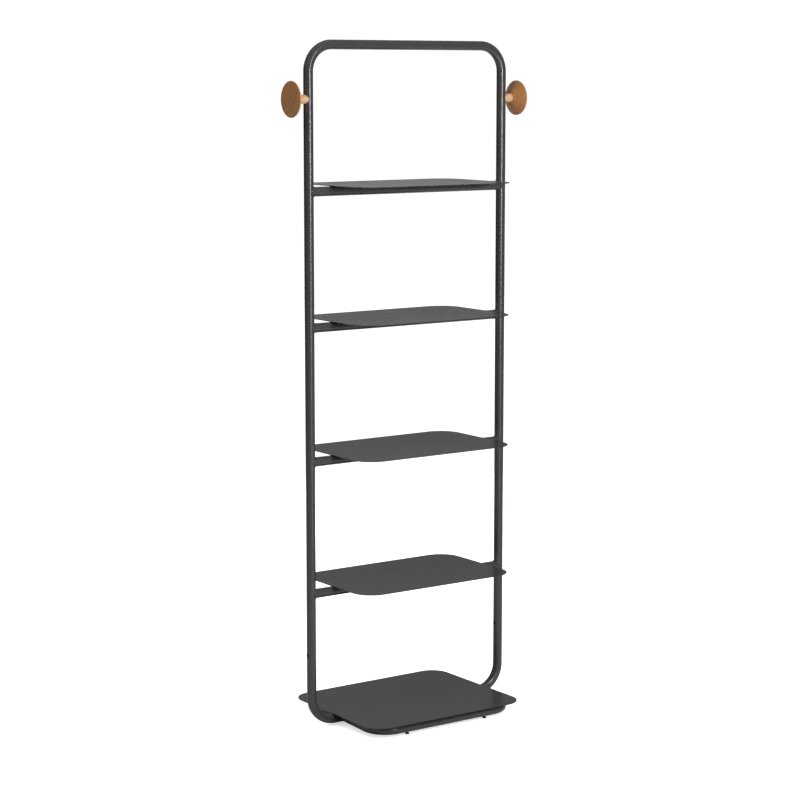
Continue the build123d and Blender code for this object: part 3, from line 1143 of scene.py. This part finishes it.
room = bpy.data.worlds.new("room")
bpy.context.scene.world = room
room.use_nodes = True
air = Nodes(room.node_tree)
white = (1.0, 1.0, 1.0, 1.0)
seen = air.add("ShaderNodeLightPath", output="Is Camera Ray")
paper = air.add("ShaderNodeBackground", {}, {"Color": white, "Strength": 1.05})
facing = air.add("ShaderNodeTexCoord", output="Generated")
upward = air.add("ShaderNodeSeparateXYZ", {}, {"Vector": facing}, "Z")
glow = air.ramp(upward, [(0.0, 0.0), (0.15, 0.06), (0.40, 0.32), (0.75, 0.26), (1.0, 0.8)])
dark = air.add("ShaderNodeBackground", {}, {"Color": white, "Strength": 0.0})
bright = air.add("ShaderNodeBackground", {}, {"Color": white, "Strength": 1.0})
walls = air.add("ShaderNodeMixShader", {}, {0: glow, 1: dark, 2: bright})
backdrop = air.add("ShaderNodeMixShader", {}, {0: seen, 1: walls, 2: paper})
air.add("ShaderNodeOutputWorld", {}, {"Surface": backdrop})

floor_half = 9.0
floor_mesh = bpy.data.meshes.new("studio_floor")
floor_corners = [
    (-floor_half, -floor_half, 0), (floor_half, -floor_half, 0),
    (floor_half, floor_half, 0), (-floor_half, floor_half, 0),
]
floor_mesh.from_pydata(floor_corners, [], [(0, 1, 2, 3)])
studio_floor = link("studio_floor", floor_mesh)
paper_floor = Finish("paper_floor")
smudge = paper_floor.noise(0.6, 2.0)
# For the camera the floor glows white, dimmed where the occlusion node finds the shelf close above it: a
# painted contact shadow.
looked_at = paper_floor.add("ShaderNodeLightPath", output="Is Camera Ray")
open_air = paper_floor.add("ShaderNodeAmbientOcclusion", {"samples": 16}, {"Distance": 0.035}, "AO")
painted_contact_shadow = paper_floor.ramp(open_air, [(0.20, 0.60), (0.75, 0.95)])
floor_mesh.materials.append(paper_floor.surface(
    Base_Color=paper_floor.blend(smudge, colour(214, 214, 214), colour(218, 218, 218)),
    Roughness=0.9, Specular_IOR_Level=0.0, Emission_Strength=1.0,
    Emission_Color=paper_floor.blend(looked_at, (0.0, 0.0, 0.0, 1.0), painted_contact_shadow),
))


def soft_box(name, place, target, width, height, radiance, shine=True):
    """A rectangular soft light facing its target, as bright as given whatever its size."""
    lamp = bpy.data.lights.new(name, "AREA")
    lamp.shape = "RECTANGLE"
    lamp.size = width
    lamp.size_y = height
    lamp.energy = radiance * pi * width * height
    made = bpy.data.objects.new(name, lamp)
    bpy.context.scene.collection.objects.link(made)
    made.location = place
    made.rotation_euler = (Vector(target) - Vector(place)).to_track_quat("-Z", "Y").to_euler()
    made.visible_camera = False
    made.visible_glossy = shine
    return made


# The strips light all but the sheets, which would throw them back as glare to whoever stands behind
all_but_sheets = bpy.data.collections.new("all_but_sheets")
for piece in bpy.context.scene.objects:
    if piece.type == "MESH" and "sheet" not in piece.name:
        all_but_sheets.objects.link(piece)
strips = ((0.3, 7.5), (0.8, 10.4), (1.2, 20.6), (1.5, 33.7), (1.8, 36.0), (2.2, 12.0), (2.6, 10.0))
for height, radiance in strips:
    aim = (0.0, 0.0, min(height, 1.6))
    strip = soft_box(f"strip_{height}", (0.02, -2.0, height), aim, 0.28, 0.35, radiance)
    strip.light_linking.receiver_collection = all_but_sheets
middle = (0.0, 0.0, 1.1)
soft_box("high_back_box", (1.98, 2.93, 2.98), middle, 3.0, 1.6, 1.28)
soft_box("low_back_box", (2.22, 3.28, 1.66), middle, 3.0, 1.0, 0.05)
soft_box("left_box", (-2.6, -1.0, 3.7), (0.0, 0.0, 1.5), 1.6, 1.6, 4.7, shine=False)
soft_box("front_box", (1.0, -3.0, 3.2), (0.0, 0.0, 1.6), 1.6, 1.6, 2.4, shine=False)
soft_box("right_box", (3.0, -0.6, 2.0), middle, 1.6, 1.6, 2.0, shine=False)
soft_box("rear_box", (1.2, 3.4, 0.7), middle, 2.4, 1.0, 12.0, shine=False)

camera = bpy.data.objects.new("camera", bpy.data.cameras.new("camera"))
bpy.context.scene.collection.objects.link(camera)
camera.data.lens = 100.0
camera.data.sensor_width = 36.0
camera.location = (-3.4143, -4.8362, 1.7299)
camera_tilt = 8.345
camera_turn = 35.029
camera.rotation_euler = (radians(90 - camera_tilt), 0.0, radians(-camera_turn))
bpy.context.scene.camera = camera
bpy.context.scene.view_settings.view_transform = "Standard"
